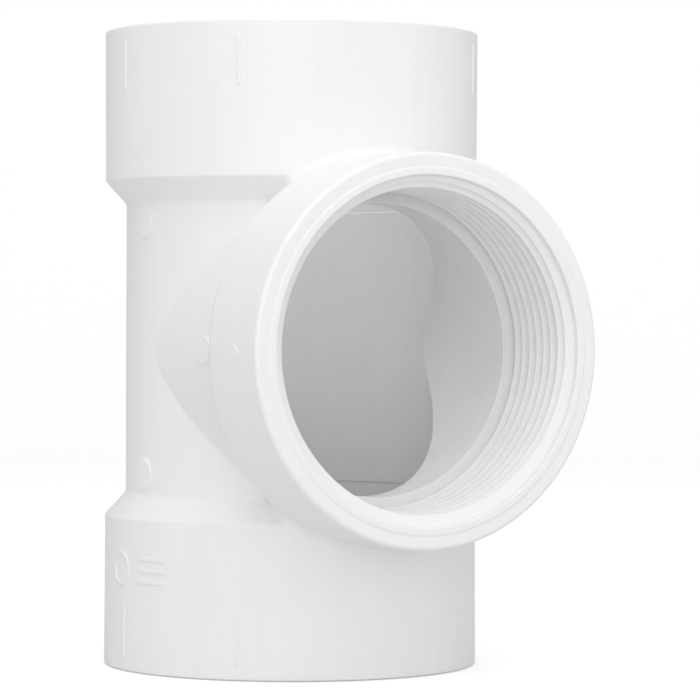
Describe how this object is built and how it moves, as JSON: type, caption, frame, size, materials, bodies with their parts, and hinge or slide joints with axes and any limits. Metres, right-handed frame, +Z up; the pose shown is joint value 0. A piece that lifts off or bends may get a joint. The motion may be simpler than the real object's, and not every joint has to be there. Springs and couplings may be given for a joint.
{
  "type": "drainage cleanout tee",
  "caption": "White rigid PVC drainage tee: two in-line pipe sockets on a straight barrel, with a wide threaded cleanout mouth square to the run.",
  "frame": {"origin": "middle of the lower socket's mouth, in the plane of its rim", "axes": "+Z up the run, from the lower socket to the upper socket; -Y out along the threaded branch"},
  "size_m": [0.1022, 0.1238, 0.171],
  "materials": {
    "white_pvc": "satin-gloss as moulded"
  },
  "bodies": {
    "root": {"run_barrel": "white_pvc", "lower_hub": "white_pvc", "upper_hub": "white_pvc", "branch_neck": "white_pvc", "branch_hub": "white_pvc", "branch_thread_ring": "white_pvc"}
  },
  "joints": []
}
